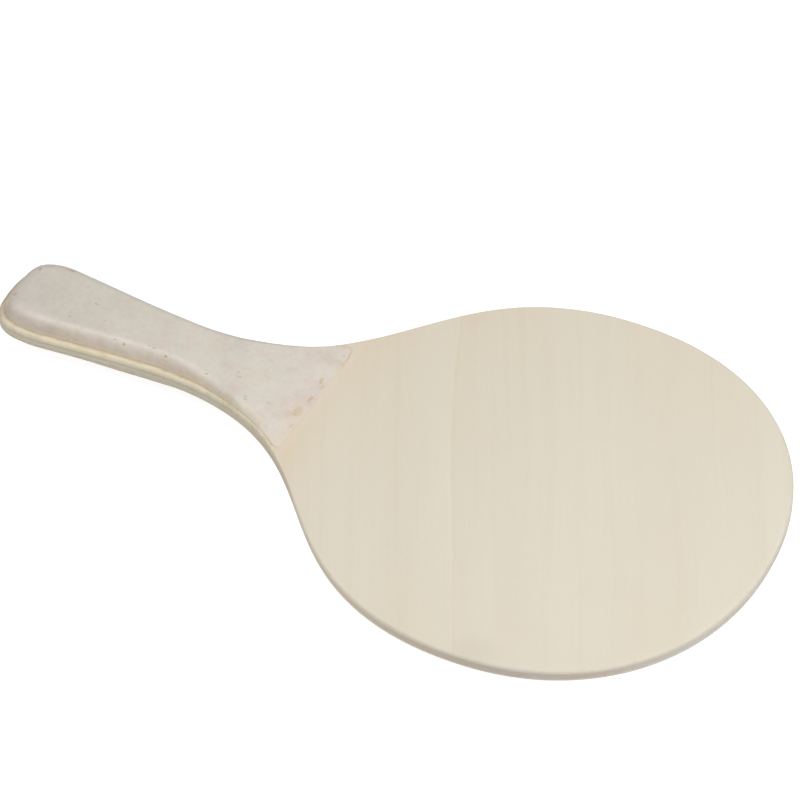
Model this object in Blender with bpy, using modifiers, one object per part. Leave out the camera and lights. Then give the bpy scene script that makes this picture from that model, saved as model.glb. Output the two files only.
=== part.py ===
"""Wooden beach game paddle.

A three-ply plywood outline makes the round blade and the core of the handle.
A fibreboard scale is glued to each side of the handle, rounded over along its
sides and butt, and feathered out where it runs onto the blade.

Frame: X runs from the butt to the tip of the blade, Y across it, +Z out of the
front face. The origin is under the middle of the paddle, level with the outer
face of the rear scale. Lengths are in metres.
"""

import math

import bmesh
import bpy

# ---------------------------------------------------------------- dimensions
LENGTH = 0.330  # butt to tip

# Blade: a slightly squared circle.
BLADE_RADIUS = 0.0925
BLADE_SQUARENESS = 2.13  # 2 would be a true circle
BLADE_CENTRE = LENGTH - BLADE_RADIUS  # from the butt

# Neck: leaves the blade at this angle and sweeps into the waist.
NECK_ANGLE = math.radians(126)
NECK_PULL = 0.040
WAIST_AT = 0.079  # narrowest place, from the butt
WAIST_HALF = 0.0152
WAIST_FLARE = 0.061
WAIST_BACK = 0.014

# Butt: a broad rounded end.
BUTT_DEPTH = 0.0215
BUTT_HALF = 0.0200
BUTT_SQUARENESS = 3.15
BUTT_TAPER = -0.09
BUTT_LEAD = 0.0185

# Plywood, 5 mm over all.
FACE_PLY = 0.0013
CORE_PLY = 0.0018
EDGE_ROUND = 0.0011  # on the outer edge of each face ply

# Handle scales.
SCALE_THICKNESS = 0.0068
SCALE_LENGTH = 0.139  # butt to the feathered end
SCALE_INSET = 0.00295  # ledge of plywood left showing round the scale
NECK_INSET = 0.0016  # the same ledge along the neck
LEDGE_NARROWS = (0.080, 0.110)  # where it goes from one width to the other
SCALE_ROUND = 0.0048
RAMP_START = 0.082  # where the scale starts to thin out
FEATHER = 0.0003  # thickness left at its end
END_CORNER = 0.0056  # rounding, in plan, of the two corners at that end

# Glue: each film lies in the middle of a joint of this height.
JOINT = 0.0003
FILM = 0.0001
FILM_INSET = 0.0006  # films stop short of the edge they join

OVERRUN = 0.004  # how far a scale is left long before its end is trimmed

PLYWOOD = 2 * FACE_PLY + CORE_PLY + 2 * JOINT
HEIGHT = PLYWOOD + 2 * JOINT + 2 * SCALE_THICKNESS


# ---------------------------------------------------------------- outline
def bezier(p0, p1, p2, p3, count):
    """Points along a cubic, without its first."""
    points = []
    for i in range(1, count + 1):
        t = i / count
        u = 1 - t
        weights = (u**3, 3 * u * u * t, 3 * u * t * t, t**3)
        points.append(
            tuple(
                sum(w * p[axis] for w, p in zip(weights, (p0, p1, p2, p3)))
                for axis in (0, 1)
            )
        )
    return points


def blade_point(angle):
    """A point of the blade's rim, the angle counted from the tip."""
    power = 2 / BLADE_SQUARENESS
    c, s = math.cos(angle), math.sin(angle)
    x = math.copysign(abs(c) ** power, c) * BLADE_RADIUS
    return BLADE_CENTRE + x, abs(s) ** power * BLADE_RADIUS


def half_outline():
    """One side of the paddle from the middle of the butt to the tip."""
    power = 2 / BUTT_SQUARENESS
    points = []
    steps = 9
    for i in range(steps + 1):
        t = math.pi / 2 * i / steps
        points.append(
            (
                BUTT_DEPTH * (1 - math.cos(t) ** power if i < steps else 1),
                BUTT_HALF * math.sin(t) ** power,
            )
        )
    corner = points[-1]
    waist = (WAIST_AT, WAIST_HALF)
    points += bezier(
        corner,
        (corner[0] + BUTT_LEAD, corner[1] + BUTT_LEAD * BUTT_TAPER),
        (waist[0] - WAIST_BACK, waist[1]),
        waist,
        9,
    )
    neck = blade_point(NECK_ANGLE)
    along = blade_point(NECK_ANGLE - 0.01)
    run = math.dist(neck, along)
    pull = [NECK_PULL * (a - b) / run for a, b in zip(along, neck)]
    points += bezier(
        waist,
        (waist[0] + WAIST_FLARE, waist[1]),
        (neck[0] - pull[0], neck[1] - pull[1]),
        neck,
        18,
    )
    steps = 42
    for i in range(1, steps + 1):
        points.append(blade_point(NECK_ANGLE * (1 - i / steps)))
    points[0] = (0.0, 0.0)
    points[-1] = (LENGTH, 0.0)
    return points


def ledge(x):
    """Width of the plywood that shows beside a scale, this far from the butt."""
    start, stop = LEDGE_NARROWS
    t = min(max((x - start) / (stop - start), 0.0), 1.0)
    return SCALE_INSET + (NECK_INSET - SCALE_INSET) * t * t * (3 - 2 * t)


def inset_half(points, inset_at):
    """The half outline moved inwards, square to itself, by a width that may vary with x."""
    moved = []
    last = len(points) - 1
    for i, (x, y) in enumerate(points):
        if i == 0:
            normal = (-1.0, 0.0)
        elif i == last:
            normal = (1.0, 0.0)
        else:
            dx = points[i + 1][0] - points[i - 1][0]
            dy = points[i + 1][1] - points[i - 1][1]
            run = math.hypot(dx, dy)
            normal = (-dy / run, dx / run)
        inset = inset_at(x)
        moved.append((x - inset * normal[0], y - inset * normal[1]))
    return moved


def cut_half(points, at):
    """The half outline as far as x = at, ending on that line."""
    kept = []
    for i, (x, y) in enumerate(points):
        if x >= at:
            x0, y0 = points[i - 1]
            t = (at - x0) / (x - x0)
            kept.append((at, y0 + t * (y - y0)))
            break
        kept.append((x, y))
    return kept


def rounded_end(half, at, radius):
    """The half outline as far as x = at, its last corner turned with an arc."""
    kept = cut_half(half, at)
    corner = kept[-1]
    # Unit vectors from the corner, back along the side and in along the end.
    side = next(p for p in reversed(kept) if math.dist(p, corner) > 2 * radius)
    run = math.dist(side, corner)
    back = ((side[0] - corner[0]) / run, (side[1] - corner[1]) / run)
    opening = math.acos(-back[1])
    reach = radius / math.tan(opening / 2)
    middle = (back[0] / 2, (back[1] - 1) / 2)
    length = math.hypot(*middle)
    far = radius / math.sin(opening / 2)
    centre = [c + far * m / length for c, m in zip(corner, middle)]
    start = [c + reach * b for c, b in zip(corner, back)]
    first = math.atan2(start[1] - centre[1], start[0] - centre[0])
    kept = [p for p in kept if p[0] < start[0] - 0.0004]
    steps = 7
    for i in range(steps + 1):
        angle = first * (1 - i / steps)
        kept.append((centre[0] + radius * math.cos(angle), centre[1] + radius * math.sin(angle)))
    return kept


def both_sides(half, tip_on_axis):
    """A closed outline, its origin moved under the middle of the paddle."""
    mirrored = [(x, -y) for x, y in reversed(half[1 : -1 if tip_on_axis else None])]
    return [(x - LENGTH / 2, y) for x, y in half + mirrored]


# ---------------------------------------------------------------- helpers
def collection(name):
    made = bpy.data.collections.new(name)
    bpy.context.scene.collection.children.link(made)
    return made


def material(name, colour, roughness):
    made = bpy.data.materials.new(name)
    made.use_nodes = True
    shader = made.node_tree.nodes["Principled BSDF"]
    shader.inputs["Base Color"].default_value = (*colour, 1.0)
    shader.inputs["Roughness"].default_value = roughness
    shader.inputs["Metallic"].default_value = 0.0
    made.diffuse_color = (*colour, 1.0)
    return made


def plate_mesh(name, outline, thickness):
    """A flat outline given a thickness about z = 0, as a closed mesh."""
    curve = bpy.data.curves.new(name, "CURVE")
    curve.dimensions = "2D"
    curve.fill_mode = "BOTH"
    curve.extrude = thickness / 2
    spline = curve.splines.new("POLY")
    spline.points.add(len(outline) - 1)
    for point, (x, y) in zip(spline.points, outline):
        point.co = (x, y, 0.0, 1.0)
    spline.use_cyclic_u = True
    guide = bpy.data.objects.new(name + "_outline", curve)
    bpy.context.scene.collection.objects.link(guide)
    graph = bpy.context.evaluated_depsgraph_get()
    mesh = bpy.data.meshes.new_from_object(guide.evaluated_get(graph))
    mesh.name = name
    bpy.data.objects.remove(guide)
    bpy.data.curves.remove(curve)

    shape = bmesh.new()
    shape.from_mesh(mesh)
    bmesh.ops.remove_doubles(shape, verts=shape.verts, dist=1e-6)
    for side in (1, -1):
        cap = [f for f in shape.faces if f.normal.z * side > 0.9]
        bmesh.ops.dissolve_faces(shape, faces=cap)
    bmesh.ops.recalc_face_normals(shape, faces=shape.faces)
    shape.to_mesh(mesh)
    shape.free()
    return mesh


def mark_top_rim(mesh, thickness, end_at=None):
    """Gives the edges round the top face a bevel weight, but not a straight end."""
    shape = bmesh.new()
    shape.from_mesh(mesh)
    weight = shape.edges.layers.float.new("bevel_weight_edge")
    for edge in shape.edges:
        a, b = (v.co for v in edge.verts)
        on_top = min(a.z, b.z) > thickness / 2 - 1e-6
        on_end = end_at is not None and min(a.x, b.x) > end_at - 1e-6
        edge[weight] = 1.0 if on_top and not on_end else 0.0
    shape.to_mesh(mesh)
    shape.free()


def place(name, mesh, finish, height, turned=False):
    """A named piece at this mid-height, turned over if it faces the rear."""
    made = bpy.data.objects.new(name, mesh)
    if not mesh.materials:
        mesh.materials.append(finish)
    paddle.objects.link(made)
    made.location.z = height
    made.rotation_euler.x = math.pi if turned else 0.0
    made.parent = root
    return made


def round_rim(piece, width, segments):
    bevel = piece.modifiers.new("rounded rim", "BEVEL")
    bevel.limit_method = "WEIGHT"
    bevel.width = width
    bevel.segments = segments
    bevel.profile = 0.5
    bevel.use_clamp_overlap = False
    bevel.loop_slide = False


def smooth(mesh):
    mesh.shade_smooth()
    mesh.set_sharp_from_angle(angle=math.radians(40))


# ---------------------------------------------------------------- the paddle
for old in list(bpy.data.objects):
    bpy.data.objects.remove(old)

paddle = collection("beach_paddle")
cutters = collection("cutters")

root = bpy.data.objects.new("paddle_origin", None)
paddle.objects.link(root)

pale_veneer = material("pale_veneer", (0.735, 0.665, 0.540), 0.62)
cross_veneer = material("cross_veneer", (0.640, 0.560, 0.430), 0.70)
fibreboard = material("fibreboard", (0.640, 0.585, 0.510), 0.48)
clear_glue = material("clear_glue", (0.560, 0.470, 0.330), 0.35)

outline = half_outline()
full = both_sides(outline, True)
ply_film = both_sides(inset_half(outline, lambda x: FILM_INSET), True)
scale_half = cut_half(inset_half(outline, ledge), SCALE_LENGTH + OVERRUN)
trim_half = rounded_end(
    inset_half(outline, lambda x: ledge(x) - 0.0004), SCALE_LENGTH, END_CORNER
)
film_half = rounded_end(
    inset_half(outline, lambda x: ledge(x) + FILM_INSET), SCALE_LENGTH - 0.001, END_CORNER - FILM_INSET
)

middle = HEIGHT / 2
ply_joint_up = CORE_PLY / 2 + JOINT / 2
face_up = CORE_PLY / 2 + JOINT + FACE_PLY / 2
scale_joint_up = PLYWOOD / 2 + JOINT / 2
scale_up = PLYWOOD / 2 + JOINT + SCALE_THICKNESS / 2

# Plywood: core between two faces, with a glue line on each side of it.
core_mesh = plate_mesh("core_veneer", full, CORE_PLY)
smooth(core_mesh)
place("core_veneer", core_mesh, cross_veneer, middle)

face_mesh = plate_mesh("face_veneer", full, FACE_PLY)
mark_top_rim(face_mesh, FACE_PLY)
smooth(face_mesh)
ply_film_mesh = plate_mesh("ply_glue_line", ply_film, FILM)
smooth(ply_film_mesh)

# Scales: a plate with a rounded rim, thinned out by a sloping cut at the blade
# and trimmed there to a straight end with rounded corners.
end = SCALE_LENGTH - LENGTH / 2
scale_mesh = plate_mesh("handle_scale", both_sides(scale_half, False), SCALE_THICKNESS)
mark_top_rim(scale_mesh, SCALE_THICKNESS, end_at=end + OVERRUN)
smooth(scale_mesh)
film_mesh = plate_mesh("scale_glue_film", both_sides(film_half, False), FILM)
smooth(film_mesh)

ramp_run = SCALE_LENGTH - RAMP_START
slope = math.atan2(SCALE_THICKNESS - FEATHER, ramp_run)
block = (0.160, 0.100, 0.020)
block_mesh = bpy.data.meshes.new("ramp_cutter")
shape = bmesh.new()
bmesh.ops.create_cube(shape, size=1.0)
bmesh.ops.scale(shape, vec=block, verts=shape.verts)
bmesh.ops.translate(shape, vec=(0, 0, block[2] / 2), verts=shape.verts)
shape.to_mesh(block_mesh)
shape.free()
trim_mesh = plate_mesh("end_trimmer", both_sides(trim_half, False), 2 * SCALE_THICKNESS)

for side, up, turned in (("front", 1, False), ("rear", -1, True)):
    face = place(f"{side}_face_veneer", face_mesh, pale_veneer, middle + up * face_up, turned)
    round_rim(face, EDGE_ROUND, 2)
    place(f"{side}_ply_glue_line", ply_film_mesh, clear_glue, middle + up * ply_joint_up, turned)
    place(f"{side}_scale_glue_film", film_mesh, clear_glue, middle + up * scale_joint_up, turned)
    scale = place(f"{side}_handle_scale", scale_mesh, fibreboard, middle + up * scale_up, turned)
    round_rim(scale, SCALE_ROUND, 4)

    ramp = bpy.data.objects.new(f"{side}_ramp_cutter", block_mesh)
    ramp.location = (end, 0.0, FEATHER - SCALE_THICKNESS / 2)
    ramp.rotation_euler.y = slope
    trim = bpy.data.objects.new(f"{side}_end_trimmer", trim_mesh)
    for tool, purpose, operation in (
        (ramp, "feathered end", "DIFFERENCE"),
        (trim, "trimmed end", "INTERSECT"),
    ):
        cutters.objects.link(tool)
        tool.parent = scale
        tool.hide_render = True
        tool.display_type = "WIRE"
        cut = scale.modifiers.new(purpose, "BOOLEAN")
        cut.operation = operation
        cut.solver = "EXACT"
        cut.object = tool
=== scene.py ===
"""Looks of the wooden beach game paddle.

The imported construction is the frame. Each of its pieces gets a finer mesh here,
drawn from the same outline, and a finish of its own: pale veneer with its grain
and a mineral streak, a cross-grained core, glue lines, and speckled fibreboard
grips. Lengths are in metres unless a name says millimetres.
"""

import math

import bmesh
import bpy
import numpy as np
from mathutils import Matrix, Vector, noise


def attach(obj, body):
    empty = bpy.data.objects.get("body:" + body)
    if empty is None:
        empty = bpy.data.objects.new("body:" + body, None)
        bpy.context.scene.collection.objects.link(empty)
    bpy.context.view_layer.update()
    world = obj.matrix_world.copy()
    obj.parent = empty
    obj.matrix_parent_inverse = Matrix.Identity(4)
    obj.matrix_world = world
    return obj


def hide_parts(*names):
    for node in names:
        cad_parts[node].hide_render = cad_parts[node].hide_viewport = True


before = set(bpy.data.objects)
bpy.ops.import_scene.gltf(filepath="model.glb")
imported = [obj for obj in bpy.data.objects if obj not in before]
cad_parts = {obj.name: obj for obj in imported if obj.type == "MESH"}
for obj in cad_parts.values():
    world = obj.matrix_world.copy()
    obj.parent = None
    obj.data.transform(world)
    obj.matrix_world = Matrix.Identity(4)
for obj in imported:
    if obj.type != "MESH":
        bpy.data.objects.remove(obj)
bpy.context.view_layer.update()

MM = 0.001

# ---------------------------------------------------------------- dimensions, as in the construction
LENGTH = 0.330
BLADE_RADIUS, BLADE_SQUARENESS = 0.0925, 2.13
BLADE_CENTRE = LENGTH - BLADE_RADIUS
NECK_ANGLE, NECK_PULL = math.radians(126), 0.040
WAIST_AT, WAIST_HALF, WAIST_FLARE, WAIST_BACK = 0.079, 0.0152, 0.061, 0.014
BUTT_DEPTH, BUTT_HALF, BUTT_SQUARENESS = 0.0215, 0.0200, 3.15
BUTT_TAPER, BUTT_LEAD = -0.09, 0.0185

# Sanded edges, in from the edge and down it: softer along the handle, crisper past the neck,
# and softer at the tip behind.
EDGE_ROUND, HANDLE_ROUND, NECK_ROUND, EDGE_DEPTH = 1.6 * MM, 2.5 * MM, 0.4 * MM, 1.18 * MM
REAR_ROUND, REAR_DEPTH, TIP_DEPTH = 0.6 * MM, 0.40 * MM, 1.2 * MM
SCALE_END, END_SLANT = 0.1382, 0.040  # the feathered end on the centre line, and its slant
SCALE_INSET, NECK_INSET = 2.95 * MM, 1.6 * MM  # ledge round the handle, and along the neck
SCALE_ROUND, BUTT_ROUND = 4.8 * MM, 7.2 * MM  # rounding along the sides, and round the butt
RAMP_START, RAMP_POWER = 0.072, 1.4  # where a grip starts to thin, and how gently
FEATHER = 0.03 * MM
JOINT = 0.115 * MM  # depth of the glue under a grip, which its rim closes off
END_CORNERS = 9.5 * MM, 6.4 * MM  # length of side that the rounding of each end corner takes

# Heights of the layers. The glue closes each joint, so the layers all but touch.
REAR_SCALE = (0.0, 6.98 * MM)
REAR_FILM = (6.99 * MM, 7.09 * MM)
REAR_FACE = (7.10 * MM, 8.47 * MM)
REAR_GLUE = (8.48 * MM, 8.61 * MM)
CORE = (8.62 * MM, 10.58 * MM)
FRONT_GLUE = (10.59 * MM, 10.72 * MM)
FRONT_FACE = (10.73 * MM, 12.10 * MM)
FRONT_FILM = (12.11 * MM, 12.21 * MM)
FRONT_SCALE = (12.22 * MM, 19.20 * MM)


# ---------------------------------------------------------------- outline
def bezier(p0, p1, p2, p3, count):
    t = np.linspace(0, 1, count)[1:, None]
    u = 1 - t
    p0, p1, p2, p3 = (np.array(p, float) for p in (p0, p1, p2, p3))
    return u**3 * p0 + 3 * u * u * t * p1 + 3 * u * t * t * p2 + t**3 * p3


def blade_point(angle):
    power = 2 / BLADE_SQUARENESS
    c, s = np.cos(angle), np.sin(angle)
    x = np.sign(c) * np.abs(c) ** power * BLADE_RADIUS
    y = np.abs(s) ** power * BLADE_RADIUS
    return np.stack([BLADE_CENTRE + x, y], axis=-1)


def half_outline(step):
    """One side from the middle of the butt to the tip, at even steps along it."""
    t = np.linspace(0, math.pi / 2, 400) ** 1.0
    power = 2 / BUTT_SQUARENESS
    butt = np.stack(
        [BUTT_DEPTH * (1 - np.cos(t).clip(0) ** power), BUTT_HALF * np.sin(t) ** power], 1
    )
    corner, waist = butt[-1], np.array([WAIST_AT, WAIST_HALF])
    handle = bezier(
        corner,
        corner + BUTT_LEAD * np.array([1, BUTT_TAPER]),
        waist - (WAIST_BACK, 0),
        waist,
        300,
    )
    neck = blade_point(NECK_ANGLE)
    along = blade_point(NECK_ANGLE - 0.01) - neck
    along /= np.linalg.norm(along)
    flare = bezier(waist, waist + (WAIST_FLARE, 0), neck - NECK_PULL * along, neck, 500)
    blade = blade_point(np.linspace(NECK_ANGLE, 0, 1200)[1:])
    line = np.concatenate([butt, handle, flare, blade])
    line[0], line[-1] = (0, 0), (LENGTH, 0)
    run = np.r_[0, np.cumsum(np.linalg.norm(np.diff(line, axis=0), axis=1))]
    even = np.linspace(0, run[-1], int(run[-1] / step) + 1)
    return np.stack([np.interp(even, run, line[:, k]) for k in (0, 1)], 1)


def inward(half):
    """Unit vectors square to the half outline, towards its inside."""
    along = np.gradient(half, axis=0)
    along /= np.linalg.norm(along, axis=1, keepdims=True)
    normal = np.stack([along[:, 1], -along[:, 0]], 1)
    normal[0] = (1, 0)
    if half[-1, 1] < 1e-9:
        normal[-1] = (-1, 0)
    return normal


def cut_half(half, at):
    """The half outline as far as x = at, ending on that line."""
    i = int(np.argmax(half[:, 0] >= at))
    a, b = half[i - 1], half[i]
    t = (at - a[0]) / (b[0] - a[0])
    return np.concatenate([half[:i], [a + t * (b - a)]])


def plan(half, offsets, columns):
    """Plan positions, one row across the piece for each point of the half outline.

    A row runs from one side to the other: rings at the given offsets from the
    edge, even columns between, and the rings of the other side. The second
    result is each position's distance from the edge.
    """
    normal = inward(half)
    offsets = np.asarray(offsets, float)
    left = half[:, None, :] + normal[:, None, :] * offsets[None, :, None]
    left[0, :, 1] = 0.0
    if half[-1, 1] < 1e-9:
        left[-1, :, 1] = 0.0
    right = left[:, ::-1] * (1, -1)
    share = (np.arange(1, columns + 1) / (columns + 1))[None, :, None]
    between = left[:, -1:, :] * (1 - share) + right[:, :1, :] * share
    rows = np.concatenate([left, between, right], axis=1)
    inner = np.minimum(share[0, :, 0], 1 - share[0, :, 0])[None] * 2 * left[:, -1:, 1]
    rim = np.concatenate(
        [
            np.broadcast_to(offsets, left.shape[:2]),
            offsets[-1] + inner,
            np.broadcast_to(offsets[::-1], left.shape[:2]),
        ],
        axis=1,
    )
    return rows, rim


def hand_cut(rows, pulled, fuller):
    """The plan with the far corner of the butt cut by hand: pulled in at its end, fuller at its side."""
    x, y = rows[..., 0], rows[..., 1]
    pull = pulled * (1 - smooth_step(x, 0.0, 0.018)) * smooth_step(y, 0.001, 0.009)
    bulge = fuller * np.exp(-(((x - 0.0165) / 0.007) ** 2)) * smooth_step(y, 0.003, 0.012)
    return np.stack([x + pull, y + bulge], axis=-1)


# ---------------------------------------------------------------- meshes
def wave(x, y, z, size, seed):
    """Smooth noise in -1..1 of about this size in metres."""
    return noise.noise(Vector((x / size + seed * 7.31, y / size - seed * 3.17, z / size + seed * 1.9)))


def smooth_step(x, low, high):
    t = ((x - low) / (high - low)).clip(0, 1)
    return t * t * (3 - 2 * t)


def slab(name, rows, low, high, marks, finish):
    """A closed piece over the plan rows, between two heights given for each position."""
    count, across = rows.shape[:2]
    points = np.empty((2, count, across, 3))
    points[..., 0] = rows[..., 0] - LENGTH / 2
    points[..., 1] = rows[..., 1]
    points[0, ..., 2], points[1, ..., 2] = low, high
    index = np.arange(2 * count * across).reshape(2, count, across)
    faces = []
    for level, turn in ((0, 1), (1, -1)):
        a, b = index[level, :-1, :-1], index[level, 1:, :-1]
        c, d = index[level, 1:, 1:], index[level, :-1, 1:]
        faces += [list(f)[::turn] for f in zip(a.flat, b.flat, c.flat, d.flat)]
    for side, turn in ((0, 1), (across - 1, -1)):
        a, b = index[0, :-1, side], index[0, 1:, side]
        c, d = index[1, 1:, side], index[1, :-1, side]
        faces += [list(f)[::-turn] for f in zip(a, b, c, d)]
    for end, turn in ((0, 1), (count - 1, -1)):
        if np.ptp(rows[end, :, 1]) < 1e-9:
            continue  # this row runs in and back along one line, so it is closed already
        a, b = index[0, end, :-1], index[0, end, 1:]
        c, d = index[1, end, 1:], index[1, end, :-1]
        faces += [list(f)[::turn] for f in zip(a, b, c, d)]
    mesh = bpy.data.meshes.new(name)
    mesh.from_pydata(points.reshape(-1, 3).tolist(), [], [[int(i) for i in f] for f in faces])
    for key, values in marks.items():
        layer = mesh.attributes.new(key, "FLOAT", "POINT")
        layer.data.foreach_set("value", np.concatenate([values, values]).astype(np.float32).ravel())

    shape = bmesh.new()
    shape.from_mesh(mesh)
    bmesh.ops.remove_doubles(shape, verts=shape.verts, dist=2e-7)
    flat = [f for f in shape.faces if f.calc_area() < 1e-14]
    bmesh.ops.delete(shape, geom=flat, context="FACES_ONLY")
    bmesh.ops.recalc_face_normals(shape, faces=shape.faces)
    shape.to_mesh(mesh)
    shape.free()
    mesh.shade_smooth()
    mesh.set_sharp_from_angle(angle=math.radians(38))
    mesh.materials.append(finish)
    made = bpy.data.objects.new(name, mesh)
    bpy.context.scene.collection.objects.link(made)
    return made


def face_ply(name, span, up, finish, seed):
    """An outer ply. Its outer edge is sanded round, a little unevenly."""
    half = half_outline(1.5 * MM)
    turn = np.linspace(0, math.pi / 2, 11)
    widest = HANDLE_ROUND if up > 0 else REAR_ROUND
    offsets = np.r_[widest * (1 - np.cos(turn)), widest * 1.25, widest * 1.6]
    rows, rim = plan(half, offsets, 24)
    rows = hand_cut(rows, 0.55 * MM, 0.0)
    drop = np.zeros_like(rim)
    rings = len(turn)
    if up > 0:
        reach = HANDLE_ROUND + (NECK_ROUND - HANDLE_ROUND) * smooth_step(half[:, 0], 0.108, 0.142)
        reach += (EDGE_ROUND - NECK_ROUND) * smooth_step(half[:, 0], 0.180, 0.245)
        depth = np.full(len(half), EDGE_DEPTH)
    else:
        reach = np.full(len(half), REAR_ROUND)
        depth = REAR_DEPTH + (TIP_DEPTH - REAR_DEPTH) * smooth_step(half[:, 0], 0.20, 0.30)
    for i, (x, y) in enumerate(half):
        inside = (1 - offsets[:rings] / reach[i]).clip(0, 1)
        for side in (1, -1):
            uneven = 1 + 0.07 * wave(x, y * side, 0, 14 * MM, seed) + 0.04 * wave(x, y * side, 0, 4 * MM, seed + 1)
            fall = depth[i] * uneven * (1 - np.sqrt(1 - inside**2))
            if side == 1:
                drop[i, :rings] = fall
            else:
                drop[i, -rings:] = fall[::-1]
    drop[0, -rings:] = drop[0, :rings][::-1]
    drop[-1, -rings:] = drop[-1, :rings][::-1]
    if up > 0:
        low, high = np.full_like(rim, span[0]), span[1] - drop
    else:
        low, high = span[0] + drop, np.full_like(rim, span[1])
    return slab(name, rows, low, high, {"rim_mm": rim / MM}, finish)


def inner_ply(name, span, recess, finish):
    """The core or a glue line: a plain layer set back a hair from the sanded edge."""
    half = half_outline(1.5 * MM)
    rows, rim = plan(half, recess + np.array([0, 0.12, 0.5, 1.5]) * MM, 6)
    rows = hand_cut(rows, 0.55 * MM, 0.0)
    dip = 0.02 * MM * (rim < recess + 0.05 * MM)
    dip = np.minimum(dip, (span[1] - span[0]) * 0.3)
    return slab(name, rows, span[0] + dip, span[1] - dip, {"rim_mm": rim / MM}, finish)


def scale_inset(x):
    """Width of the plywood ledge beside the grip: it narrows along the neck."""
    return SCALE_INSET + (NECK_INSET - SCALE_INSET) * smooth_step(x, 0.080, 0.110)


def end_at(y, seed, turn):
    """Where the feathered end lies at this place across the grip: a hand-sanded, ragged line."""
    ragged = 0.80 * MM * wave(0, y, 0, 6.5 * MM, seed) + 0.50 * MM * wave(0, y, 0, 1.9 * MM, seed + 3)
    return SCALE_END + END_SLANT * turn * y + ragged


def scale_plan(more, offsets, columns, short, seed, turn):
    """Plan of a grip scale or of its glue film, its last row bent to the ragged end."""
    half = half_outline(1.2 * MM)
    half = half + inward(half) * (scale_inset(half[:, :1]) + more)
    half[0, 1] = 0.0
    rows, rim = plan(cut_half(half, SCALE_END), offsets, columns)

    def width(x):
        return np.interp(x, half[:, 0], half[:, 1])

    # The end from side to side, each corner between it and the side rounded.
    line = np.array([(end_at(y, seed, turn) - short, y) for y in np.linspace(0.038, -0.038, 700)])
    line = line[np.abs(line[:, 1]) < width(line[:, 0])]
    t = np.linspace(0, 1, 30)[:, None]
    bends = []
    for way in (line, line[::-1]):
        corner = way[0]
        taken = END_CORNERS[0 if corner[1] * turn > 0 else 1]
        far = way[np.linalg.norm(way - corner, axis=1) > taken * 0.8][0]
        x = corner[0] - taken * 0.8
        side = np.array([x, math.copysign(width(x), corner[1])])
        bends.append((1 - t) ** 2 * side + 2 * t * (1 - t) * corner + t * t * far)
    top, bottom = bends[0][-1, 1], bends[1][-1, 1]
    between = line[(line[:, 1] < top) & (line[:, 1] > bottom)]
    path = np.concatenate([bends[0], between, bends[1][::-1]])
    run = np.r_[0, np.cumsum(np.linalg.norm(np.diff(path, axis=0), axis=1))]
    last = rows[-1].copy()
    pace = np.r_[0, np.cumsum(np.linalg.norm(np.diff(last, axis=0), axis=1))]
    goal = np.stack([np.interp(pace / pace[-1] * run[-1], run, path[:, k]) for k in (0, 1)], 1)

    start = SCALE_END - 0.030
    share = ((rows[..., 0] - start) / (last[:, 0] - start)[None]).clip(0, 1)
    rows = rows + (share**1.6)[..., None] * (goal - last)[None]
    for edge, sign in ((0, 1), (-1, -1)):
        moved = share[:, edge] > 0
        fit = np.where(moved, width(rows[:, edge, 0]) / np.abs(rows[:, edge, 1]).clip(MM), 1.0)
        rows[..., 1] *= np.where(rows[..., 1] * sign > 0, fit[:, None], 1.0)
    ends = np.array([[end_at(y, seed, turn) - short for y in row] for row in rows[..., 1]])
    tip = np.full(rim.shape, 0.020)
    for i, j in np.argwhere(rows[..., 0] > SCALE_END - 0.024):
        tip[i, j] = min(0.020, np.linalg.norm(path - rows[i, j], axis=1).min())
    return rows, rim, (ends - rows[..., 0]).clip(0), tip


def rim_distance(rows, more):
    """Distance of each position from the grip's sides and butt."""
    half = half_outline(0.6 * MM)
    half = half + inward(half) * (scale_inset(half[:, :1]) + more)
    half = half[half[:, 0] < SCALE_END + 0.012]
    edge = np.concatenate([half, half * (1, -1)])
    flat = rows.reshape(-1, 2)
    near = [np.linalg.norm(edge - point, axis=1).min() for point in flat]
    return np.array(near).reshape(rows.shape[:2])


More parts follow.
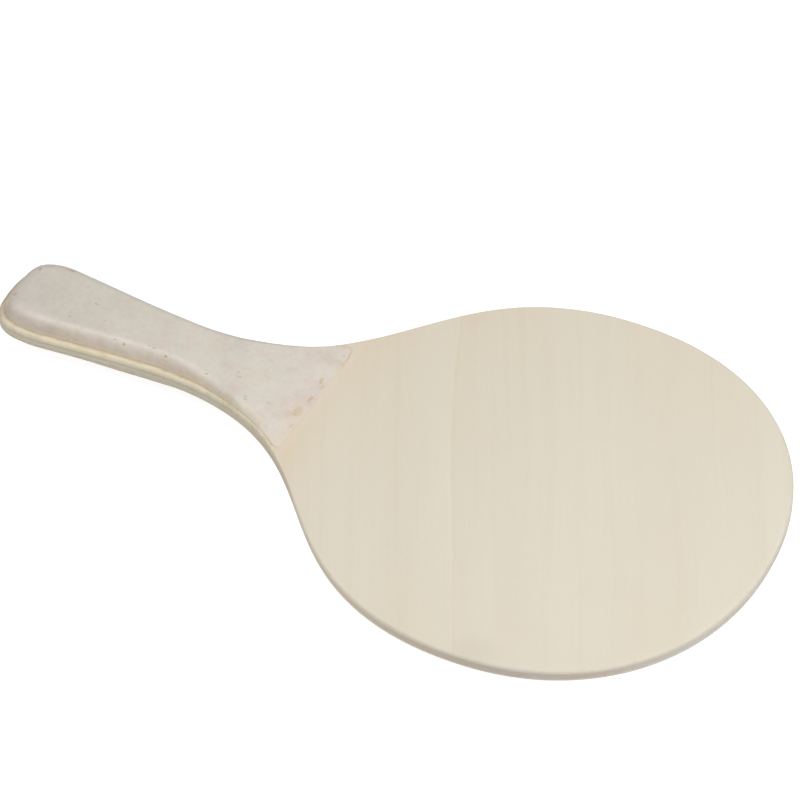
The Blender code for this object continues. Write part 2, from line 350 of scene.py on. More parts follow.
def handle_scale(name, span, up, finish, seed, heel):
    """A grip: flat, ramped out at the blade, and rounded over along its sides and butt.

    The heel is where the rounding has come down from the butt's to the sides'.
    """
    turn = np.linspace(0, math.pi / 2, 13)
    offsets = np.r_[SCALE_ROUND * (1 - np.cos(turn)), SCALE_ROUND * 1.08, SCALE_ROUND * 1.2]
    rows, rim, to_end, tip = scale_plan(0.0, offsets, 40, 0.0, seed, up)
    inner = slice(len(offsets), -len(offsets))
    rim = rim.copy()
    rim[:, inner] = rim_distance(rows[:, inner], 0.0)
    thick = span[1] - span[0]
    run = SCALE_END - RAMP_START
    top = FEATHER + (thick - FEATHER) * (1 - ((run - to_end) / run).clip(0, 1) ** RAMP_POWER)
    # The rounding is as deep as the grip allows, so it fades out with the ramp.
    butt = 1 - smooth_step(rows[..., 0], heel - 0.028, heel)
    reach = SCALE_ROUND + (BUTT_ROUND - SCALE_ROUND) * butt
    deep = np.minimum(SCALE_ROUND + 0.9 * MM * butt, 0.94 * top)
    reach = reach * deep / (SCALE_ROUND + 0.9 * MM * butt)
    # Near the end the rim was sanded off to a slope instead, on one side more than on the other.
    sloped = 1 - smooth_step(to_end, 9 * MM, 27 * MM)
    sloped = sloped * (1 - 0.7 * smooth_step(rows[..., 1] * up, 0.0, 0.012))
    reach = reach * (1 + 1.8 * sloped + 1.6 * sloped * (1 - smooth_step(to_end, 5 * MM, 14 * MM)))
    inside = (1 - rim / reach).clip(0, 1)
    fall = (1 - sloped) * (1 - np.sqrt(1 - inside**2)) + sloped * inside**1.35
    height = top - deep * fall
    for i in range(1, rows.shape[0]):
        for j in range(rows.shape[1]):
            x, y = rows[i, j]
            hand = min(1.0, rim[i, j] / (1.5 * MM)) * min(1.0, height[i, j] / MM)
            height[i, j] += hand * (
                0.030 * MM * (wave(x, y, 0, 16 * MM, seed + 5) - 0.6)
                + 0.012 * MM * (wave(x, y, 0, 4.5 * MM, seed + 6) - 0.6)
            )
    height = np.minimum(height, thick - 0.002 * MM)
    marks = {"rim_mm": rim / MM, "end_mm": to_end / MM, "tip_mm": tip / MM}
    rows = hand_cut(rows, 0.35 * MM, 0.5 * MM if up > 0 else 0.0)
    closed = 1 - smooth_step(rim, 0.5 * MM, 1.0 * MM) * smooth_step(to_end, 2.5 * MM, 4.0 * MM)
    height = height - JOINT * (1 - smooth_step(height, 0.2 * MM, 1.8 * MM))
    if up > 0:
        low, high = span[0] - JOINT * closed, span[0] + height
    else:
        low, high = span[1] - height, span[1] + JOINT * closed
    return slab(name, rows, low, high, marks, finish)


def scale_film(name, span, up, finish, seed):
    """The glue under a grip, inside the line where its rim meets the plywood."""
    rows, rim, to_end, tip = scale_plan(
        1.1 * MM, np.array([0, 0.3, 1.0]) * MM, 30, 4.2 * MM, seed, up
    )
    return slab(
        name, rows, np.full_like(rim, span[0]), np.full_like(rim, span[1]), {"rim_mm": rim / MM}, finish
    )


# ---------------------------------------------------------------- finishes
class Finish:
    """A material written as expressions: each call adds a node and returns its output."""

    def __init__(self, name):
        self.material = bpy.data.materials.new(name)
        self.material.use_nodes = True
        self.tree = self.material.node_tree
        self.tree.nodes.clear()

    def put(self, value, socket):
        if isinstance(value, bpy.types.NodeSocket):
            self.tree.links.new(value, socket)
        elif value is not None:
            if isinstance(value, tuple) and len(value) == 3 and socket.type == "RGBA":
                value = (*value, 1.0)
            socket.default_value = value

    def node(self, kind, **settings):
        made = self.tree.nodes.new(kind)
        for key, value in settings.items():
            setattr(made, key, value)
        return made

    def math(self, operation, a, b=None, c=None, clamp=False):
        made = self.node("ShaderNodeMath", operation=operation, use_clamp=clamp)
        for value, socket in zip((a, b, c), made.inputs):
            self.put(value, socket)
        return made.outputs[0]

    def add(self, a, b):
        return self.math("ADD", a, b)

    def sub(self, a, b):
        return self.math("SUBTRACT", a, b)

    def mul(self, a, b):
        return self.math("MULTIPLY", a, b)

    def vector(self, x, y, z):
        made = self.node("ShaderNodeCombineXYZ")
        for value, socket in zip((x, y, z), made.inputs):
            self.put(value, socket)
        return made.outputs[0]

    def split(self, vector):
        made = self.node("ShaderNodeSeparateXYZ")
        self.put(vector, made.inputs[0])
        return made.outputs

    def band(self, value, low, high, out_low=0.0, out_high=1.0, smooth=True):
        made = self.node("ShaderNodeMapRange", interpolation_type="SMOOTHSTEP" if smooth else "LINEAR")
        made.clamp = True
        for key, v in zip(
            ("Value", "From Min", "From Max", "To Min", "To Max"), (value, low, high, out_low, out_high)
        ):
            self.put(v, made.inputs[key])
        return made.outputs[0]

    def noise(self, vector, scale=1.0, detail=2.0, roughness=0.5, distortion=0.0):
        made = self.node("ShaderNodeTexNoise", noise_dimensions="3D")
        self.put(vector, made.inputs["Vector"])
        for key, v in zip(("Scale", "Detail", "Roughness", "Distortion"), (scale, detail, roughness, distortion)):
            self.put(v, made.inputs[key])
        return made.outputs[0]

    def cells(self, vector, scale=1.0):
        """Distance to the nearest of scattered points, and a random colour for that point."""
        made = self.node("ShaderNodeTexVoronoi", feature="F1", voronoi_dimensions="3D")
        self.put(vector, made.inputs["Vector"])
        self.put(scale, made.inputs["Scale"])
        return made.outputs["Distance"], made.outputs["Color"]

    def mix(self, factor, a, b, blend="MIX"):
        made = self.node("ShaderNodeMix", data_type="RGBA", blend_type=blend)
        self.put(factor, made.inputs[0])
        self.put(a, made.inputs[6])
        self.put(b, made.inputs[7])
        return made.outputs[2]

    def tint(self, colour, factor, by):
        """The colour multiplied by a tint, as far as the factor says."""
        return self.mix(factor, colour, by, "MULTIPLY")

    def mark(self, name):
        made = self.node("ShaderNodeAttribute", attribute_type="GEOMETRY", attribute_name=name)
        return made.outputs["Fac"]

    def place(self):
        """Object coordinates in millimetres, and the object-space normal."""
        made = self.node("ShaderNodeTexCoord")
        grow = self.node("ShaderNodeVectorMath", operation="SCALE")
        self.put(made.outputs["Object"], grow.inputs[0])
        grow.inputs["Scale"].default_value = 1000.0
        return grow.outputs[0], made.outputs["Normal"]

    def finish(self, colour, roughness, height=None, lift_mm=0.05, strength=1.0, specular=0.5, glow=0.0):
        shader = self.node("ShaderNodeBsdfPrincipled")
        self.put(colour, shader.inputs["Base Color"])
        self.put(roughness, shader.inputs["Roughness"])
        shader.inputs["Specular IOR Level"].default_value = specular
        shader.inputs["Emission Strength"].default_value = glow
        if height is not None:
            bump = self.node("ShaderNodeBump")
            bump.inputs["Strength"].default_value = strength
            bump.inputs["Distance"].default_value = lift_mm * MM
            self.put(height, bump.inputs["Height"])
            self.put(bump.outputs[0], shader.inputs["Normal"])
        out = self.node("ShaderNodeOutputMaterial")
        self.put(shader.outputs[0], out.inputs["Surface"])
        return self.material


def grain_axes(f, place, angle, seed):
    """Coordinates across the grain, along it and through the board, in millimetres."""
    x, y, z = f.split(place)
    c, s = math.cos(angle), math.sin(angle)
    across = f.add(f.mul(x, c), f.mul(y, s))
    along = f.add(f.mul(x, -s), f.mul(y, c))
    return f.add(across, seed * 137.0), f.add(along, seed * 71.0), f.add(z, seed * 23.0)


NECK_EDGE_LIGHT = (1.20, 1.215, 1.18)  # painted light: the cut edge is painted paler where the blade leaves the neck, where light falls on it


def veneer(name, base, angle, seed, streak, turn, tip):
    """Pale sanded veneer.

    The streak is its place across the grain and its strength, the turn the way the
    grip on it slants, and the tip a tint of the cut edge there.
    """
    f = Finish(name)
    place, normal = f.place()
    u, v, w = grain_axes(f, place, angle, 0.0)
    # The grain wanders a little as it runs.
    sway = f.noise(f.vector(f.mul(u, 0.012), f.mul(v, 0.010), seed * 3.7), 1.0, 2.0, 0.5)
    uu = f.add(u, f.mul(f.sub(sway, 0.5), 9.0))
    through = f.add(w, seed * 31.0)

    broad = f.noise(f.vector(f.mul(uu, 0.050), f.mul(v, 0.0035), f.mul(through, 0.2)), 1.0, 2.0, 0.45)
    rings = f.noise(f.vector(f.mul(uu, 0.30), f.mul(v, 0.0070), f.mul(through, 0.5)), 1.0, 3.0, 0.55)
    fine = f.noise(f.vector(f.mul(uu, 1.9), f.mul(v, 0.030), f.mul(through, 1.6)), 1.0, 3.0, 0.6)
    pores = f.noise(f.vector(f.mul(uu, 2.4), f.mul(v, 0.26), f.mul(through, 2.6)), 1.0, 2.0, 0.5)
    cloud = f.noise(f.vector(f.mul(u, 0.018), f.mul(v, 0.014), seed * 1.3), 1.0, 3.0, 0.5)

    colour = base
    colour = f.tint(colour, f.band(broad, 0.42, 0.72), (0.984, 0.975, 0.960))
    colour = f.tint(colour, f.band(rings, 0.46, 0.74), (0.984, 0.976, 0.964))
    colour = f.tint(colour, f.band(fine, 0.52, 0.80), (0.984, 0.977, 0.967))
    colour = f.tint(colour, f.band(cloud, 0.45, 0.75), (0.990, 0.978, 0.962))
    # Short flecks, dark and light, that lie along the grain.
    dark = f.band(pores, 0.63, 0.74)
    light = f.band(pores, 0.37, 0.26)
    colour = f.tint(colour, f.mul(dark, 0.9), (0.965, 0.952, 0.938))
    colour = f.mix(f.mul(light, 0.05), colour, (1.0, 0.97, 0.88))

    # Mineral streak: a thin pale line, a thin tan line, then a band that fades away.
    at, amount = streak
    bow = f.mul(f.math("POWER", f.add(f.math("MAXIMUM", v, -62.0), 25.0), 2.0), 0.00052)
    wobble = f.mul(
        f.sub(f.noise(f.vector(seed * 5.0, f.mul(v, 0.055), 0.0), 1.0, 3.0, 0.55), 0.5), 2.6
    )
    off = f.sub(u, f.add(f.add(bow, wobble), at))
    tan = f.mul(f.band(off, -0.7, 0.1), f.band(off, 1.9, 0.4))
    after = f.mul(f.band(off, -0.3, 0.3), f.band(off, 15.0, 2.0, 0.0, 1.0))
    pale = f.mul(f.band(off, -2.4, -0.9), f.band(off, -0.15, -0.7))
    breaks = f.noise(f.vector(seed * 9.0, f.mul(v, 0.03), 3.0), 1.0, 2.0, 0.5)
    shown = f.mul(f.band(breaks, 0.25, 0.60, 0.35, 1.0), f.mul(f.band(v, -110.0, -60.0, 0.60, 1.0), amount))
    colour = f.tint(colour, f.mul(after, f.mul(shown, 0.70)), (0.970, 0.955, 0.938))
    colour = f.tint(colour, f.mul(tan, f.mul(shown, 0.80)), (1.002, 0.966, 0.905))
    colour = f.mix(f.mul(pale, f.mul(shown, 0.012)), colour, (1.0, 0.95, 0.84))

    x, y, z = f.split(place)
    if turn > 0:  # at the edge the streak runs out in a dull patch
        patch = f.vector(f.mul(f.sub(x, 85.0), 0.9), f.sub(y, -88.0), 0.0)
        away = f.node("ShaderNodeVectorMath", operation="LENGTH")
        f.put(patch, away.inputs[0])
        away = f.add(away.outputs["Value"], f.mul(f.sub(rings, 0.5), 6.0))
        colour = f.tint(colour, f.band(away, 12.0, 2.0), (0.945, 0.945, 0.930))
    # Yellower along the handle, and a warm cast where the grips were sanded and across the far side.
    on_handle = f.band(x, -24.0, -44.0)
    wander = f.sub(f.noise(f.vector(x, y, seed * 6.0), 0.34, 2.0, 0.5), 0.5)
    # Painted highlight: the rounded crest of the plywood ledge beside the grip is painted brighter, where light from
    # above catches it.
    in_from = f.add(f.mark("rim_mm"), f.mul(wander, 1.7))
    ledge_highlight = f.mul(f.band(in_from, 0.5, 1.5), f.band(in_from, 2.7, 1.8))
    colour = f.tint(colour, on_handle, (0.915, 0.925, 0.925))
    colour = f.tint(colour, f.mul(on_handle, f.mul(ledge_highlight, f.band(x, -45.0, -75.0, 0.94, 1.0))), (1.20, 1.195, 1.18))
    uneven = f.noise(f.vector(x, y, seed * 2.0), 0.24, 3.0, 0.6)
    colour = f.tint(colour, f.mul(on_handle, f.band(uneven, 0.46, 0.66)), (0.93, 0.915, 0.885))
    colour = f.tint(colour, f.mul(f.band(x, -146.0, -163.0), f.band(y, -16.0, -4.0)), (0.86, 0.82, 0.775))
    colour = f.tint(colour, f.mul(f.band(x, -150.0, -160.0), f.band(y, -4.0, 9.0)), (0.86, 0.82, 0.80))
    colour = f.tint(colour, f.band(x, 40.0, -26.0), (0.991, 0.965, 0.947))
    colour = f.tint(colour, f.band(y, -50.0, -85.0), (1.0, 0.988, 0.988))
    colour = f.tint(colour, f.band(y, 20.0, 80.0), (0.995, 0.978, 0.972))
    warm = f.mul(f.band(x, -8.0, -26.0), f.band(cloud, 0.30, 0.62, 0.35, 1.0))
    colour = f.tint(colour, warm, (1.0, 0.972, 0.915))
    # The sanding that feathered out the grip left a paler line on the blade beside it.
    past = f.sub(x, f.add(f.mul(y, END_SLANT * turn), (SCALE_END - LENGTH / 2) / MM))
    colour = f.tint(colour, f.mul(f.band(past, -0.8, 0.6), f.band(past, 4.4, 1.6)), (1.030, 1.006, 1.034))

    # The cut edge: sawn and sanded, so darker, and darker still on end grain. The darkening follows how far the face
    # turns from flat, so it is also painted shade on the rounded and upright faces.
    nx, ny, nz = f.split(normal)
    flat = f.math("ABSOLUTE", nz)
    edge = f.math("POWER", f.band(flat, 0.998, 0.62, smooth=False), 0.72)
    along_dir = f.add(f.mul(nx, -math.sin(angle)), f.mul(ny, math.cos(angle)))
    end_grain = f.mul(f.math("MULTIPLY", along_dir, along_dir), edge)
    colour = f.tint(colour, edge, (0.79, 0.797, 0.830))
    colour = f.tint(colour, f.mul(edge, on_handle), (1.075, 1.085, 1.02))
    colour = f.tint(colour, end_grain, (0.97, 0.96, 0.95))
    colour = f.tint(colour, f.mul(edge, f.band(x, 132.0, 150.0)), tip)
    # Painted light: the edge is painted paler where the blade leaves the neck.
    colour = f.tint(colour, f.mul(edge, f.mul(f.band(x, -18.0, -8.0), f.band(x, 105.0, 15.0))), NECK_EDGE_LIGHT)
    burr = f.noise(f.vector(f.mul(u, 1.1), f.mul(v, 1.1), f.mul(through, 4.0)), 1.0, 3.0, 0.6)
    colour = f.tint(colour, f.mul(edge, f.band(burr, 0.45, 0.75)), (0.93, 0.91, 0.87))

    height = f.add(f.mul(fine, 0.5), f.add(f.mul(pores, 0.6), f.mul(rings, 0.35)))
    rough = f.add(f.band(fine, 0.3, 0.7, 0.56, 0.66, False), f.mul(edge, 0.10))
    return f.finish(colour, rough, height, 0.045, 0.55, 0.35)


def cross_core(name, base, angle, seed):
    """The middle ply, its grain turned a quarter. Only its edge shows."""
    f = Finish(name)
    place, normal = f.place()
    u, v, w = grain_axes(f, place, angle + math.pi / 2, seed)
    fine = f.noise(f.vector(f.mul(u, 1.4), f.mul(v, 0.05), f.mul(w, 2.2)), 1.0, 4.0, 0.6)
    dots = f.noise(f.vector(f.mul(u, 2.6), f.mul(v, 0.4), f.mul(w, 3.6)), 1.0, 2.0, 0.5)
    length = f.noise(f.vector(f.mul(u, 0.05), f.mul(v, 0.05), 1.0), 1.0, 2.0, 0.5)
    nx, ny, nz = f.split(normal)
    along_dir = f.add(f.mul(nx, -math.sin(angle + math.pi / 2)), f.mul(ny, math.cos(angle + math.pi / 2)))
    end_grain = f.math("MULTIPLY", along_dir, along_dir)
    colour = f.tint(base, f.band(fine, 0.40, 0.75), (0.92, 0.89, 0.85))
    colour = f.tint(colour, f.band(dots, 0.60, 0.76), (0.86, 0.82, 0.77))
    colour = f.tint(colour, end_grain, (0.90, 0.865, 0.83))
    colour = f.tint(colour, f.band(length, 0.35, 0.70), (0.965, 0.94, 0.92))
    x, y, z = f.split(place)
    on_handle = f.band(x, -24.0, -44.0)
    colour = f.tint(colour, on_handle, (1.06, 1.12, 1.06))
    colour = f.tint(colour, f.mul(on_handle, f.band(z, 9.8, 9.1)), (1.06, 1.08, 1.13))
    colour = f.tint(colour, f.band(x, 138.0, 152.0), (1.02, 1.10, 1.17))
    # Painted light: the edge is painted paler where the blade leaves the neck.
    colour = f.tint(colour, f.mul(f.band(x, -18.0, -8.0), f.band(x, 105.0, 15.0)), NECK_EDGE_LIGHT)
    return f.finish(colour, f.band(dots, 0.3, 0.7, 0.66, 0.78, False), f.add(fine, dots), 0.06, 0.7, 0.3)


def glue(name, base, seed):
    f = Finish(name)
    place, normal = f.place()
    x, y, z = f.split(place)
    beads = f.noise(f.vector(f.mul(x, 0.5), f.mul(y, 0.5), f.add(z, seed)), 1.0, 3.0, 0.55)
    fine = f.noise(f.vector(f.mul(x, 2.4), f.mul(y, 2.4), f.add(z, seed)), 1.0, 2.0, 0.5)
    colour = f.tint(base, f.band(beads, 0.35, 0.70), (0.84, 0.79, 0.72))
    colour = f.tint(colour, f.band(fine, 0.45, 0.75), (0.92, 0.90, 0.86))
    return f.finish(colour, f.band(beads, 0.3, 0.7, 0.34, 0.52, False), f.add(beads, fine), 0.03, 0.6, 0.5)


# Chips at the thin end of a grip, in millimetres: place along and across, half length, half width, strength.
CHIPS = (
    (-30.2, -9.5, 2.8, 1.7, 0.56),
    (-29.2, -17.0, 1.4, 0.7, 0.60),
    (-29.0, -1.0, 1.5, 1.0, 0.85),
    (-29.5, 9.0, 1.8, 0.7, 0.80),
    (-27.8, 6.0, 1.4, 0.6, 0.60),
    (-31.5, 3.0, 0.7, 0.5, 0.60),
)
# Larger specks of bark, in the same terms.
BARK = (
    (-125.8, 1.6, 0.40, 1.00, 0.90),
    (-131.9, -8.9, 0.40, 0.70, 0.80),
    (-110.0, -11.5, 0.40, 0.60, 0.90),
    (-106.0, -12.0, 0.45, 0.60, 1.00),
    (-96.0, -9.3, 0.35, 0.70, 0.90),
    (-88.0, -10.5, 0.40, 0.90, 1.00),
    (-69.5, -11.1, 0.40, 0.80, 0.90),
    (-59.0, -4.4, 0.40, 0.60, 0.70),
    (-51.0, -13.6, 0.45, 0.70, 0.70),
    (-144.0, 13.8, 0.60, 1.50, 0.75),
    (-156.0, 9.0, 1.30, 0.70, 0.80),
    (-159.4, 5.4, 0.90, 0.60, 0.80),
    (-158.0, -7.0, 1.20, 0.80, 0.55),
)


def fibreboard(name, base, seed):
    """Sealed fibreboard: fine mottle, stray fibres, dark specks, browner where it is cut, with painted shade and light
    on its sides, rims and corners.
    """
    f = Finish(name)
    place, normal = f.place()
    x, y, z = f.split(place)
    rise = f.math("MAXIMUM", f.sub(z, FRONT_SCALE[0] / MM), f.sub(REAR_SCALE[1] / MM, z))
    z = f.add(z, seed * 41.0)
    here = f.vector(x, y, z)
    rim, end, tip = f.mark("rim_mm"), f.mark("end_mm"), f.mark("tip_mm")
    flip = 1.0 if seed < 3 else -1.0  # the two grips are the same way up to the hand

    cloud = f.noise(here, 0.055, 3.0, 0.55)
    blush = f.noise(f.vector(f.add(x, 300.0), y, z), 0.11, 3.0, 0.55)
    mottle = f.noise(here, 0.42, 4.0, 0.62)
    grit = f.noise(here, 2.1, 3.0, 0.6)
    strand_a = f.noise(f.vector(f.mul(x, 0.35), f.mul(y, 2.0), z), 1.0, 2.0, 0.5)
    strand_b = f.noise(
        f.vector(f.mul(f.add(x, y), 1.5), f.mul(f.sub(x, y), 0.28), f.add(z, 9.0)), 1.0, 2.0, 0.5
    )

    # Blotches: greyish, rosy and yellowish, over a finer mottle with stray fibres.
    rosy = f.noise(f.vector(f.add(x, 90.0), f.sub(y, 40.0), z), 0.135, 3.0, 0.6)
    sallow = f.noise(f.vector(f.sub(x, 70.0), f.add(y, 55.0), z), 0.105, 3.0, 0.6)
    colour = base
    colour = f.tint(colour, f.band(cloud, 0.42, 0.66), (0.960, 0.960, 0.966))
    colour = f.tint(colour, f.band(rosy, 0.47, 0.66), (1.0, 0.957, 0.958))
    colour = f.tint(colour, f.band(sallow, 0.48, 0.68), (0.990, 0.988, 0.940))
    colour = f.tint(colour, f.band(blush, 0.52, 0.70), (0.958, 0.950, 0.955))
    colour = f.tint(colour, f.band(mottle, 0.45, 0.72), (0.952, 0.940, 0.925))
    colour = f.tint(colour, f.band(grit, 0.50, 0.80), (0.955, 0.945, 0.930))
    colour = f.tint(colour, f.band(strand_a, 0.63, 0.73), (0.945, 0.932, 0.915))
    colour = f.tint(colour, f.band(strand_b, 0.65, 0.75), (0.950, 0.936, 0.918))
    colour = f.mix(f.mul(f.band(strand_b, 0.33, 0.24), 0.16), colour, (0.93, 0.88, 0.80))

    # Duller towards the butt, and paler and pinker where it thins out.
    colour = f.tint(colour, f.band(x, -92.0, -158.0), (0.945, 0.942, 0.942))
    colour = f.tint(colour, f.band(end, 26.0, 4.0), (1.025, 1.005, 1.020))
    ends = f.band(end, 40.0, 8.0)
    colour = f.tint(colour, f.mul(ends, f.band(f.mul(y, flip), 4.0, -14.0)), (1.040, 1.045, 1.030))
    colour = f.tint(colour, f.mul(ends, f.band(f.mul(y, flip), 4.0, 22.0)), (0.982, 0.992, 0.990))

    # Cut and rounded places show the brown inside of the board. The sides are also darkened by how far they turn from
    # flat, which is painted shade.
    nx, ny, nz = f.split(normal)
    side = f.band(f.math("ABSOLUTE", nz), 0.96, 0.35)
    patchy = f.band(f.add(rosy, f.mul(mottle, 0.4)), 0.55, 0.85, 0.75, 1.25)
    cut_brown_and_shade = f.mul(f.mul(side, patchy), f.band(end, 9.0, 22.0))
    colour = f.tint(colour, f.mul(cut_brown_and_shade, f.band(rise, 0.6, 3.0)), (0.850, 0.792, 0.750))
    thick = f.band(end, 34.0, 56.0)
    low = f.mul(side, f.band(rise, 3.6, 0.8))
    # Painted light: the foot of a thick wall is painted paler, lifting the shade in the crease where it meets the
    # plywood.
    colour = f.tint(colour, f.mul(f.mul(side, thick), f.band(rise, 1.8, 0.3)), (1.10, 1.045, 0.955))
    colour = f.tint(colour, f.mul(low, f.band(end, 16.0, 28.0)), (0.985, 0.975, 0.915))
    # Painted shade: the sanded slope near the end, on the side that faces the view and the right-hand light, is
    # painted darker.
    slope_shade = f.mul(f.band(f.math("ABSOLUTE", nz), 0.992, 0.86), f.mul(f.band(end, 30.0, 18.0), f.band(end, 10.0, 17.0)))
    colour = f.tint(colour, f.mul(slope_shade, f.band(f.mul(ny, flip), -0.05, -0.25)), (0.955, 0.945, 0.915))
    colour = f.tint(colour, f.mul(low, f.mul(f.band(end, 18.0, 30.0), f.band(end, 54.0, 40.0))), (0.935, 0.92, 0.85))
    heel = f.band(x, -120.0, -150.0)
    colour = f.tint(colour, f.mul(f.mul(side, heel), f.band(rise, 0.6, 2.0)), (0.93, 0.925, 0.92))
    # Painted shade: faces turned towards the butt are painted darker and browner, and the rounded rim on the far side,
    # seen at a grazing angle, is painted greyer.
    steep = f.band(f.math("ABSOLUTE", nz), 0.995, 0.70)
    colour = f.tint(colour, f.mul(steep, f.band(nx, -0.20, -0.60)), (0.86, 0.80, 0.775))
    far_rim_shade = f.mul(f.band(f.sub(f.mul(ny, 0.886), f.mul(nx, 0.464)), 0.10, 0.44), f.band(nz, 0.25, 0.50))
    colour = f.tint(colour, f.mul(far_rim_shade, f.band(rise, 0.8, 2.4)), (0.79, 0.79, 0.815))

    # Painted shadow: the grip that the paddle lies on is painted darker low on its sides, where it meets the floor.
    if flip < 0:
        contact_shadow = f.mul(f.band(rise, 2.6, 4.2), f.band(f.math("ABSOLUTE", nz), 0.94, 0.60))
        contact_shadow = f.mul(contact_shadow, f.band(mottle, 0.25, 0.60, 0.7, 1.0))
        colour = f.tint(colour, contact_shadow, (0.60, 0.585, 0.56))

    # Specks of bark: a few on the flat, more along the rim and the feathered end.
    close = f.math("MAXIMUM", f.band(rim, 6.5, 3.0), f.band(end, 7.0, 1.0))
    upright = f.band(f.math("ABSOLUTE", nz), 0.30, 0.60)
    bend = f.mul(f.sub(mottle, 0.5), 1.6)
    for size, few, many, dark, shift, deep in (
        (0.23, 0.80, 0.52, 0.62, 0.0, 0.9),
        (0.42, 0.84, 0.60, 0.72, 60.0, 0.9),
        (0.22, 0.875, 0.72, 0.70, 130.0, 0.0),
        (0.36, 0.900, 0.76, 0.60, 210.0, 0.0),
    ):
        where = f.vector(
            f.add(f.mul(f.add(x, shift), 0.62), bend), f.add(y, bend), f.mul(z, deep) if deep else seed * 17.0
        )
        distance, pick = f.cells(where, size)
        chance, second, third = f.split(pick)
        needed = f.band(close, 0.0, 1.0, few, many, False)
        chosen = f.math("GREATER_THAN", chance, needed)
        reach = f.band(second, 0.0, 1.0, 0.060, 0.150 if deep else 0.20, False)
        spot = f.mul(f.band(distance, reach, f.mul(reach, 0.35)), chosen)
        if not deep:
            spot = f.mul(spot, upright)
        strength = f.mul(spot, f.band(third, 0.0, 1.0, 0.35, 1.0, False))
        colour = f.tint(colour, f.mul(strength, dark), (0.66, 0.58, 0.50))

    # Rosy patches where the end was sanded thin.
    thin = f.band(end, 12.0, 0.5)
    colour = f.tint(colour, f.mul(thin, f.band(f.mul(y, flip), 5.0, 14.0)), (1.040, 1.060, 1.070))
    colour = f.tint(colour, f.mul(thin, f.band(blush, 0.42, 0.60)), (1.0, 0.930, 0.900))
    for at_x, at_y, long, wide, dark in BARK:
        across = f.math("DIVIDE", f.sub(f.add(y, f.mul(f.sub(mottle, 0.5), 1.6)), at_y * flip), long)
        off = f.math("DIVIDE", f.sub(f.add(x, f.mul(f.sub(strand_a, 0.5), 1.6)), at_x), wide)
        speck = f.add(f.mul(across, across), f.mul(off, off))
        colour = f.tint(colour, f.mul(f.band(speck, 1.4, 0.2), dark), (0.70, 0.61, 0.55))
    # The last of it is so thin that the wood shows through.
    bare = f.band(f.add(tip, f.mul(f.sub(mottle, 0.5), 3.0)), 1.3, 0.1)
    colour = f.mix(f.mul(bare, 0.85), colour, (0.588, 0.508, 0.408))
    worn = f.mul(f.band(f.mul(y, flip), 0.0, -15.0), f.band(f.add(tip, f.mul(f.sub(mottle, 0.5), 6.0)), 6.0, 0.3))
    colour = f.mix(f.mul(worn, 0.80), colour, (0.596, 0.518, 0.420))
    # Chips of bark that the sanding laid open.
    for at_x, at_y, long, wide, dark in CHIPS:
        across = f.math("DIVIDE", f.sub(f.add(y, f.mul(f.sub(mottle, 0.5), 4.0)), at_y * flip), long)
        off = f.math("DIVIDE", f.sub(f.add(x, f.mul(f.sub(strand_a, 0.5), 2.6)), at_x), wide)
        chip = f.add(f.mul(across, across), f.mul(off, off))
        colour = f.tint(colour, f.mul(f.band(chip, 1.5, 0.3), dark), (0.86, 0.765, 0.60))
    # Painted shade: one corner is painted with a tan line along the small step where the end still has some thickness.
    corner = f.mul(f.band(f.mul(y, flip), 16.0, 22.0), f.band(tip, 1.0, 0.3))
    colour = f.tint(colour, f.mul(corner, f.band(mottle, 0.30, 0.60, 0.5, 1.0)), (0.89, 0.82, 0.74))

    height = f.add(f.mul(mottle, 0.5), f.add(f.mul(grit, 0.5), f.mul(strand_a, 0.4)))
    rough = f.add(f.band(mottle, 0.3, 0.7, 0.36, 0.44, False), f.mul(f.band(end, 58.0, 30.0), 0.16))
    return f.finish(colour, rough, height, 0.035, 0.5, 0.5)


# ---------------------------------------------------------------- pieces
GRAIN = math.radians(26)  # how far the face grain is turned from straight across
front_wood = veneer("veneer_front", (0.598, 0.5555, 0.4595), GRAIN, 1.0, (28.4, 1.0), 1, (0.945, 0.945, 0.955))
rear_wood = veneer("veneer_rear", (0.595, 0.5515, 0.4535), -GRAIN * 0.55, 4.0, (-36.0, 0.7), -1, (1.02, 1.10, 1.17))
core_wood = cross_core("veneer_core", (0.430, 0.378, 0.328), GRAIN, 2.0)
ply_glue = glue("ply_glue", (0.44, 0.385, 0.31), 3.0)
scale_glue = glue("scale_glue", (0.52, 0.43, 0.30), 6.0)
front_board = fibreboard("fibreboard_front", (0.5605, 0.5205, 0.459), 1.0)
rear_board = fibreboard("fibreboard_rear", (0.5605, 0.5205, 0.459), 5.0)

PIECES = (
    (face_ply("front_face_veneer_fine", FRONT_FACE, 1, front_wood, 11.0), "front_face_veneer", "face_veneer"),
    (face_ply("rear_face_veneer_fine", REAR_FACE, -1, rear_wood, 17.0), "rear_face_veneer", "face_veneer"),
    (inner_ply("core_veneer_fine", CORE, 0.05 * MM, core_wood), "core_veneer", "core_veneer"),
    (inner_ply("front_ply_glue_line_fine", FRONT_GLUE, 0.10 * MM, ply_glue), "front_ply_glue_line", "glue"),
    (inner_ply("rear_ply_glue_line_fine", REAR_GLUE, 0.10 * MM, ply_glue), "rear_ply_glue_line", "glue"),
    (handle_scale("front_handle_scale_fine", FRONT_SCALE, 1, front_board, 21.0, 0.034), "front_handle_scale", "fibreboard"),
    (handle_scale("rear_handle_scale_fine", REAR_SCALE, -1, rear_board, 29.0, 0.062), "rear_handle_scale", "fibreboard"),
    (scale_film("front_scale_glue_film_fine", FRONT_FILM, 1, scale_glue, 21.0), "front_scale_glue_film", "glue"),
    (scale_film("rear_scale_glue_film_fine", REAR_FILM, -1, scale_glue, 29.0), "rear_scale_glue_film", "glue"),
)
for piece, node, slot in PIECES:
    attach(piece, "root")
    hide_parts(node)

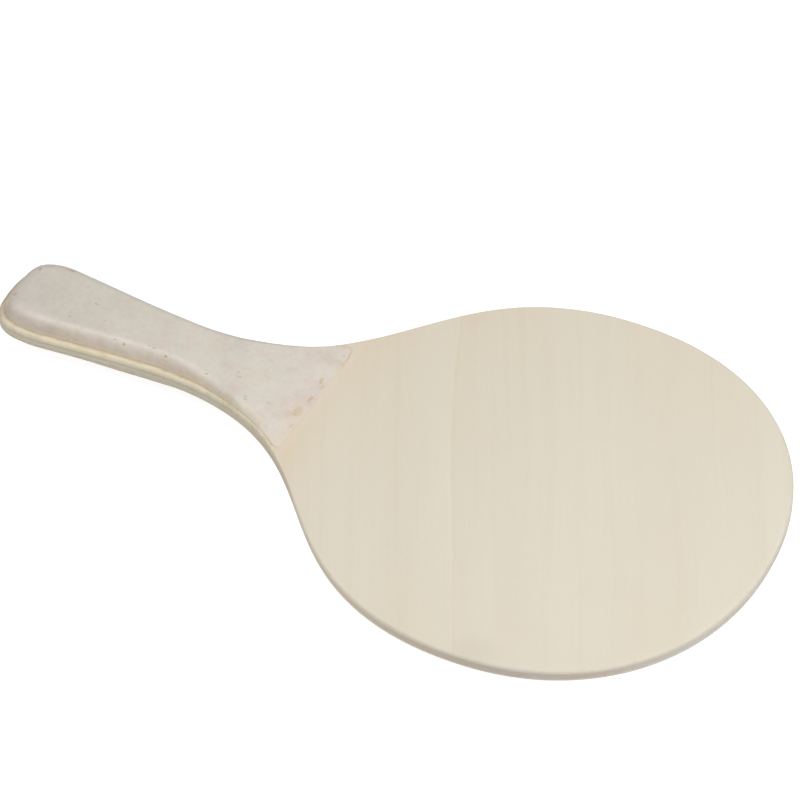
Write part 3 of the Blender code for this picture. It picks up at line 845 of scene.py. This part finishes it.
# ---------------------------------------------------------------- floor
# The paddle lies on the start of the rear grip's ramp and on the tip of its blade.
heel_x, tip_x = RAMP_START + MM - LENGTH / 2, LENGTH / 2 - REAR_ROUND
lean = math.atan2(REAR_FACE[0], tip_x - heel_x)
floor_mesh = bpy.data.meshes.new("studio_floor")
shape = bmesh.new()
bmesh.ops.create_circle(shape, cap_ends=True, segments=96, radius=14.0)
shape.to_mesh(floor_mesh)
shape.free()
floor = bpy.data.objects.new("studio_floor", floor_mesh)
floor.location = (heel_x, 0.0, -0.04 * MM)
floor.rotation_euler = (0.0, -lean, 0.0)
bpy.context.scene.collection.objects.link(floor)
f = Finish("lit_table")
place, normal = f.place()
cast = f.noise(place, 0.8, 3.0, 0.5)
floor_mesh.materials.append(
    f.finish(f.mix(cast, (0.340, 0.340, 0.340), (0.360, 0.360, 0.360)), 0.85, None, specular=0.2, glow=0.80)
)

# ---------------------------------------------------------------- camera
AZIMUTH, ELEVATION, ROLL = math.radians(27.653), math.radians(46.953), math.radians(-1.215)
TARGET, DISTANCE = Vector((0.00249, 0.01364, 0.01210)), 1.63444
back = Vector(
    (
        math.sin(AZIMUTH) * math.cos(ELEVATION),
        -math.cos(AZIMUTH) * math.cos(ELEVATION),
        math.sin(ELEVATION),
    )
)
level = Vector((math.cos(AZIMUTH), math.sin(AZIMUTH), 0.0))
raised = back.cross(level)
right = level * math.cos(ROLL) + raised * math.sin(ROLL)
up = back.cross(right)
lens = bpy.data.cameras.new("camera")
lens.sensor_width = 36.0
lens.lens = 36.0 * 4200 / 800
lens.clip_start, lens.clip_end = 0.05, 60.0
camera = bpy.data.objects.new("camera", lens)
turn = Matrix((right, up, back)).transposed().to_4x4()
camera.matrix_world = Matrix.Translation(TARGET + back * DISTANCE) @ turn
bpy.context.scene.collection.objects.link(camera)
bpy.context.scene.camera = camera

# ---------------------------------------------------------------- light
toward = Vector((back.x, back.y, 0.0)).normalized()


def softbox(name, at, aim, size, power, colour=(1.0, 1.0, 1.0)):
    light = bpy.data.lights.new(name, "AREA")
    light.shape = "RECTANGLE"
    light.size, light.size_y = size
    light.energy = power
    light.color = colour
    made = bpy.data.objects.new(name, light)
    made.location = at
    made.rotation_euler = (Vector(aim) - Vector(at)).to_track_quat("-Z", "Y").to_euler()
    made.visible_camera = False
    bpy.context.scene.collection.objects.link(made)
    return made


softbox("left_softbox", level * -0.54 + toward * -0.02 + Vector((0, 0, 0.90)), (0, 0, 0), (0.55, 0.55), 4.1)
softbox("right_softbox", level * 0.60 + toward * 0.36 + Vector((0, 0, 0.68)), (0, 0, 0), (0.72, 0.72), 7.2)

world = bpy.data.worlds.new("studio")
world.use_nodes = True
tree = world.node_tree
tree.nodes.clear()
direction = tree.nodes.new("ShaderNodeTexCoord")
axes = tree.nodes.new("ShaderNodeSeparateXYZ")
tree.links.new(direction.outputs["Generated"], axes.inputs[0])
rise = tree.nodes.new("ShaderNodeMapRange")
rise.interpolation_type = "LINEAR"
rise.inputs["From Min"].default_value, rise.inputs["From Max"].default_value = 0.0, 1.0
rise.inputs["To Min"].default_value, rise.inputs["To Max"].default_value = 0.85, 0.26
tree.links.new(axes.outputs[2], rise.inputs["Value"])
haze = tree.nodes.new("ShaderNodeMapRange")  # a pale band that hides where the floor ends
haze.interpolation_type = "SMOOTHSTEP"
haze.inputs["From Min"].default_value, haze.inputs["From Max"].default_value = 0.11, 0.06
haze.inputs["To Min"].default_value, haze.inputs["To Max"].default_value = 0.0, 0.22
tree.links.new(axes.outputs[2], haze.inputs["Value"])
both = tree.nodes.new("ShaderNodeMath")
both.operation = "ADD"
tree.links.new(rise.outputs[0], both.inputs[0])
tree.links.new(haze.outputs[0], both.inputs[1])
sky = tree.nodes.new("ShaderNodeBackground")
sky.inputs["Color"].default_value = (1.0, 1.0, 1.0, 1.0)
tree.links.new(both.outputs[0], sky.inputs["Strength"])
end = tree.nodes.new("ShaderNodeOutputWorld")
tree.links.new(sky.outputs[0], end.inputs["Surface"])
bpy.context.scene.world = world

view = bpy.context.scene.view_settings
view.view_transform = "Standard"
view.look = "None"
view.exposure, view.gamma = 0.0, 1.0
